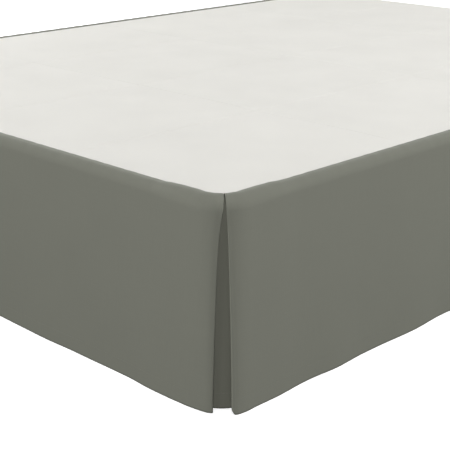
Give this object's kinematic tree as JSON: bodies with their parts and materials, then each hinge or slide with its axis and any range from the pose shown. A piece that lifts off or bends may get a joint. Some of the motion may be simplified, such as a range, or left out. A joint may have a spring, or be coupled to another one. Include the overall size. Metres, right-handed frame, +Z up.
{
  "type": "bed skirt on box spring",
  "caption": "Tailored bed skirt with an inverted pleat at each foot corner, draped over a box spring on a steel bed frame.",
  "frame": {"origin": "on the floor under the middle of the bed", "axes": "+Z up, +Y from the foot of the bed to its head, +X to the right seen from the foot"},
  "size_m": [1.5493, 2.0445, 0.37],
  "materials": {
    "skirt_cloth": "smooth matt brushed microfibre, sage grey-green",
    "deck_cloth": "plain off-white non-woven",
    "ticking": "plain woven ticking, off-white",
    "frame_steel": "dark brown powder coat, satin",
    "glide_plastic": "black moulded plastic"
  },
  "bodies": {
    "root": {"deck": "deck_cloth", "foot_panel": "skirt_cloth", "right_panel": "skirt_cloth", "left_panel": "skirt_cloth", "right_underlay": "skirt_cloth", "left_underlay": "skirt_cloth", "box_spring": "ticking", "right_rail": "frame_steel", "left_rail": "frame_steel", "foot_cross_rail": "frame_steel", "middle_cross_rail": "frame_steel", "head_cross_rail": "frame_steel", "foot_right_leg": "frame_steel", "foot_left_leg": "frame_steel", "middle_right_leg": "frame_steel", "middle_left_leg": "frame_steel", "head_right_leg": "frame_steel", "head_left_leg": "frame_steel", "centre_leg": "frame_steel", "foot_right_glide": "glide_plastic", "foot_left_glide": "glide_plastic", "middle_right_glide": "glide_plastic", "middle_left_glide": "glide_plastic", "head_right_glide": "glide_plastic", "head_left_glide": "glide_plastic", "centre_glide": "glide_plastic"}
  },
  "joints": []
}
